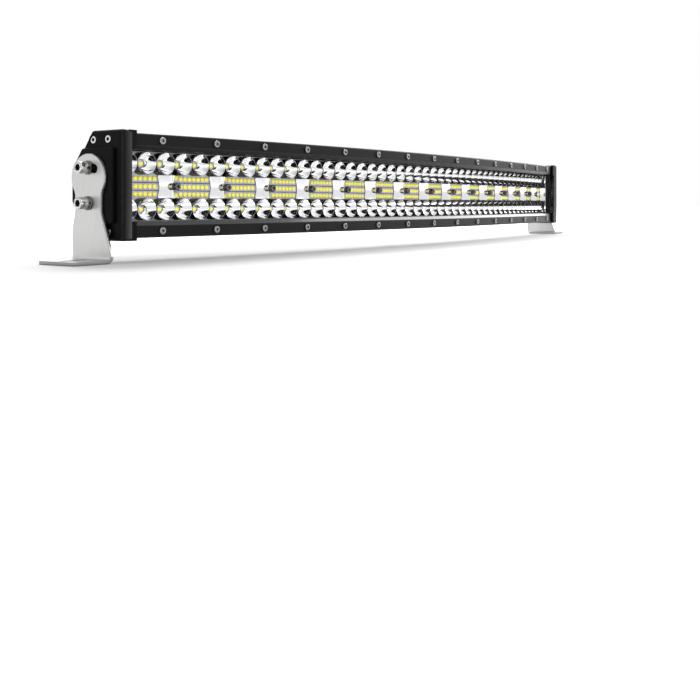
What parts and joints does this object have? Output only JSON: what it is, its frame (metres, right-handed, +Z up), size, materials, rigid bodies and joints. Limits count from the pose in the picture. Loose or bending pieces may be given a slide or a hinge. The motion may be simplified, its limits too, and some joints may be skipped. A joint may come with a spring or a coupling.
{
  "type": "led light bar",
  "caption": "Curved vehicle light bar with rows of mirrored cups and long bowls behind a clear lens, on two stainless L brackets that let it tilt.",
  "frame": {"origin": "on the mounting plane under the feet, midway between the two foot slots", "axes": "+X along the bar to the right as seen from the front, +Y to the back, so the light leaves towards -Y, +Z up"},
  "size_m": [0.858, 0.0787, 0.0935],
  "materials": {
    "black_anodised": "black anodised extrusion, satin",
    "bezel_black": "black powder coat, satin",
    "cap_black": "black powder coat on a casting, satin",
    "screw_steel": "bright stainless",
    "clear_lens": "clear polycarbonate",
    "silicone": "matt silicone rubber",
    "mirror_reflector": "metallised mirror finish",
    "dark_screw": "dark plated",
    "emitter_board": "white solder mask on aluminium",
    "emitter_yellow": "yellow phosphor under clear gel",
    "thermal_pad": "matt filled silicone",
    "driver_board": "green solder mask",
    "ferrite": "sintered ferrite",
    "capacitor_can": "bare can",
    "chip_black": "moulded package",
    "copper_link": "tinned copper pin",
    "brushed_stainless": "vertical brush, satin",
    "bolt_steel": "bright stainless",
    "spring_steel": "spring steel",
    "gland_black": "moulded nylon"
  },
  "bodies": {
    "bar": {"housing": "black_anodised", "upper_bezel": "bezel_black", "lower_bezel": "bezel_black", "bezel_screws": "screw_steel", "front_lens": "clear_lens", "lens_gaskets": "silicone", "reflector_1": "mirror_reflector", "reflector_2": "mirror_reflector", "reflector_3": "mirror_reflector", "reflector_4": "mirror_reflector", "reflector_5": "mirror_reflector", "reflector_screws": "dark_screw", "led_board_1": "emitter_board", "led_board_2": "emitter_board", "led_board_3": "emitter_board", "led_board_4": "emitter_board", "led_board_5": "emitter_board", "flood_leds": "emitter_yellow", "upper_spot_leds": "emitter_yellow", "lower_spot_leds": "emitter_yellow", "thermal_pads": "thermal_pad", "driver_boards": "driver_board", "driver_inductors": "ferrite", "driver_capacitors": "capacitor_can", "driver_chips": "chip_black", "board_links": "copper_link", "left_end_cap": "cap_black", "right_end_cap": "cap_black", "left_cap_gasket": "silicone", "right_cap_gasket": "silicone", "left_cap_screws": "screw_steel", "right_cap_screws": "screw_steel", "left_pivot_bolt": "bolt_steel", "right_pivot_bolt": "bolt_steel", "left_tilt_bolt": "bolt_steel", "right_tilt_bolt": "bolt_steel", "left_washers": "bolt_steel", "right_washers": "bolt_steel", "left_spring_washers": "spring_steel", "right_spring_washers": "spring_steel", "gland_body": "gland_black", "gland_seal": "silicone", "gland_nut": "gland_black", "breather_vent": "gland_black", "vent_seal": "silicone"},
    "left_bracket": {"left_bracket": "brushed_stainless"},
    "right_bracket": {"right_bracket": "brushed_stainless"}
  },
  "joints": [
    {"name": "left_bracket_tilt", "type": "hinge", "parent": "bar", "child": "left_bracket", "pos_m": [-0.396, 0.0041, 0.042], "axis": [1, 0, 0], "range_deg": [-15, 15]},
    {"name": "right_bracket_tilt", "type": "hinge", "parent": "bar", "child": "right_bracket", "pos_m": [0.396, 0.0041, 0.042], "axis": [1, 0, 0], "range_deg": [-15, 15]}
  ]
}
